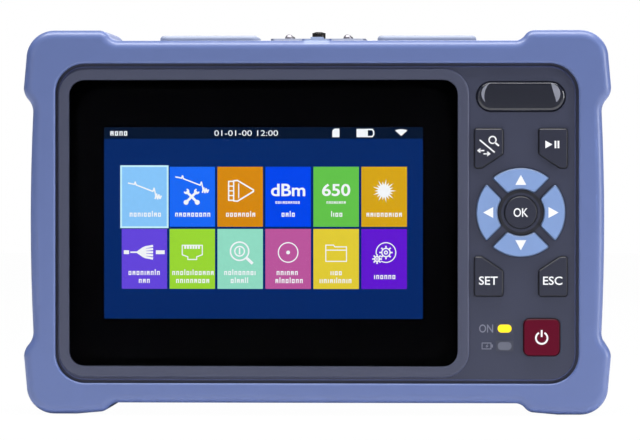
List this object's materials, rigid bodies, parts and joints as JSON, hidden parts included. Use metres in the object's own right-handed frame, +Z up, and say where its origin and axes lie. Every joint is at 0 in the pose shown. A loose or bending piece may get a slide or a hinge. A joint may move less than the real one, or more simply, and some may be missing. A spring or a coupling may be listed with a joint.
{
  "type": "optical time domain reflectometer",
  "caption": "Handheld fibre tester with a wide display, side keypad, corner-thick rubber bumper, covered ports on top and a kickstand behind.",
  "frame": {"origin": "middle of the footprint under the bumper's lower corners, at the level they stand on", "axes": "+X to the right of the user, the display faces -Y, +Z up"},
  "size_m": [0.199, 0.056, 0.13],
  "materials": {
    "bumper_rubber": "satin soft rubber",
    "shell_plastic": "fine textured",
    "glass": "polished",
    "adhesive_black": "matt",
    "display": "lit display",
    "sheet_steel": "zinc plated",
    "screw_steel": "nickel plated",
    "board_green": "solder mask",
    "flex_amber": "polyimide film",
    "mat_silicone": "moulded silicone",
    "key_dark": "satin moulded",
    "key_blue": "satin moulded",
    "key_red": "satin moulded",
    "lens_yellow": "lit lens",
    "lens_grey": "clear lens, unlit",
    "badge_resin": "domed resin",
    "module_cast": "die cast",
    "fibre_boot": "soft boot",
    "plate_metal": "bead blasted, anodised",
    "adapter_nickel": "nickel plated brass",
    "cap_metal": "turned, dark anodised",
    "cap_rubber": "moulded",
    "jack_shell": "stamped",
    "jack_black": "moulded",
    "battery_wrap": "shrink wrapped",
    "contact_gold": "gold flashed",
    "speaker_black": "paper cone"
  },
  "bodies": {
    "case": {"bumper": "bumper_rubber", "front_housing": "shell_plastic", "rear_housing": "shell_plastic", "port_panel": "shell_plastic", "housing_seal": "mat_silicone", "case_screws": "screw_steel", "cover_glass": "glass", "glass_adhesive": "adhesive_black", "lcd_panel": "display", "lcd_bracket": "sheet_steel", "bracket_screws": "screw_steel", "display_cable": "flex_amber", "power_light_pipe": "lens_yellow", "charge_light_pipe": "lens_grey", "keypad_mat": "mat_silicone", "keypad_board": "board_green", "keypad_screws": "screw_steel", "name_badge": "badge_resin", "main_board": "board_green", "board_screws": "screw_steel", "optical_module": "module_cast", "fibre_pigtail": "fibre_boot", "adapter_plate": "plate_metal", "plate_screws": "screw_steel", "otdr_adapter": "adapter_nickel", "meter_port": "adapter_nickel", "locator_port": "adapter_nickel", "lan_jack_left": "jack_black", "lan_jack_right": "jack_black", "usb_a_jack": "jack_shell", "micro_usb_jack": "jack_shell", "dc_jack": "jack_black", "flap_pins": "screw_steel", "battery_door": "shell_plastic", "door_screws": "screw_steel", "battery_pack": "battery_wrap", "battery_contacts": "contact_gold", "speaker": "speaker_black"},
    "zoom_key": {"key_zoom": "key_dark"},
    "run_key": {"key_run": "key_dark"},
    "set_key": {"key_set": "key_dark"},
    "esc_key": {"key_esc": "key_dark"},
    "up_key": {"key_up": "key_blue"},
    "down_key": {"key_down": "key_blue"},
    "left_key": {"key_left": "key_blue"},
    "right_key": {"key_right": "key_blue"},
    "ok_key": {"key_ok": "key_dark"},
    "power_key": {"key_power": "key_red"},
    "left_port_flap": {"left_flap": "bumper_rubber"},
    "right_port_flap": {"right_flap": "bumper_rubber"},
    "otdr_port_cap": {"otdr_cap": "cap_metal"},
    "meter_port_cap": {"meter_cap": "cap_rubber"},
    "locator_port_cap": {"locator_cap": "cap_rubber"},
    "stand": {"kickstand": "shell_plastic", "stand_foot": "mat_silicone"}
  },
  "joints": [
    {"name": "zoom_press", "type": "slide", "parent": "case", "child": "zoom_key", "axis": [0, 1, 0], "range_m": [0, 0.0008], "stiffness_N_per_m": 1000},
    {"name": "run_press", "type": "slide", "parent": "case", "child": "run_key", "axis": [0, 1, 0], "range_m": [0, 0.0008], "stiffness_N_per_m": 1000},
    {"name": "set_press", "type": "slide", "parent": "case", "child": "set_key", "axis": [0, 1, 0], "range_m": [0, 0.0008], "stiffness_N_per_m": 1000},
    {"name": "esc_press", "type": "slide", "parent": "case", "child": "esc_key", "axis": [0, 1, 0], "range_m": [0, 0.0008], "stiffness_N_per_m": 1000},
    {"name": "up_press", "type": "slide", "parent": "case", "child": "up_key", "axis": [0, 1, 0], "range_m": [0, 0.0008], "stiffness_N_per_m": 1000},
    {"name": "down_press", "type": "slide", "parent": "case", "child": "down_key", "axis": [0, 1, 0], "range_m": [0, 0.0008], "stiffness_N_per_m": 1000},
    {"name": "left_press", "type": "slide", "parent": "case", "child": "left_key", "axis": [0, 1, 0], "range_m": [0, 0.0008], "stiffness_N_per_m": 1000},
    {"name": "right_press", "type": "slide", "parent": "case", "child": "right_key", "axis": [0, 1, 0], "range_m": [0, 0.0008], "stiffness_N_per_m": 1000},
    {"name": "ok_press", "type": "slide", "parent": "case", "child": "ok_key", "axis": [0, 1, 0], "range_m": [0, 0.0008], "stiffness_N_per_m": 1000},
    {"name": "power_press", "type": "slide", "parent": "case", "child": "power_key", "axis": [0, 1, 0], "range_m": [0, 0.0008], "stiffness_N_per_m": 1000},
    {"name": "left_flap_hinge", "type": "hinge", "parent": "case", "child": "left_port_flap", "pos_m": [-0.0371, 0.0042, 0.1271], "axis": [-1, 0, 0], "range_deg": [0, 110]},
    {"name": "right_flap_hinge", "type": "hinge", "parent": "case", "child": "right_port_flap", "pos_m": [0.0371, 0.0042, 0.1271], "axis": [-1, 0, 0], "range_deg": [0, 110]},
    {"name": "otdr_cap_lift", "type": "slide", "parent": "case", "child": "otdr_port_cap", "axis": [0, 0, 1], "range_m": [0, 0.05]},
    {"name": "meter_cap_lift", "type": "slide", "parent": "case", "child": "meter_port_cap", "axis": [0, 0, 1], "range_m": [0, 0.05]},
    {"name": "locator_cap_lift", "type": "slide", "parent": "case", "child": "locator_port_cap", "axis": [0, 0, 1], "range_m": [0, 0.05]},
    {"name": "stand_hinge", "type": "hinge", "parent": "case", "child": "stand", "pos_m": [0, 0.0243, 0.077], "axis": [1, 0, 0], "range_deg": [0, 50]}
  ]
}
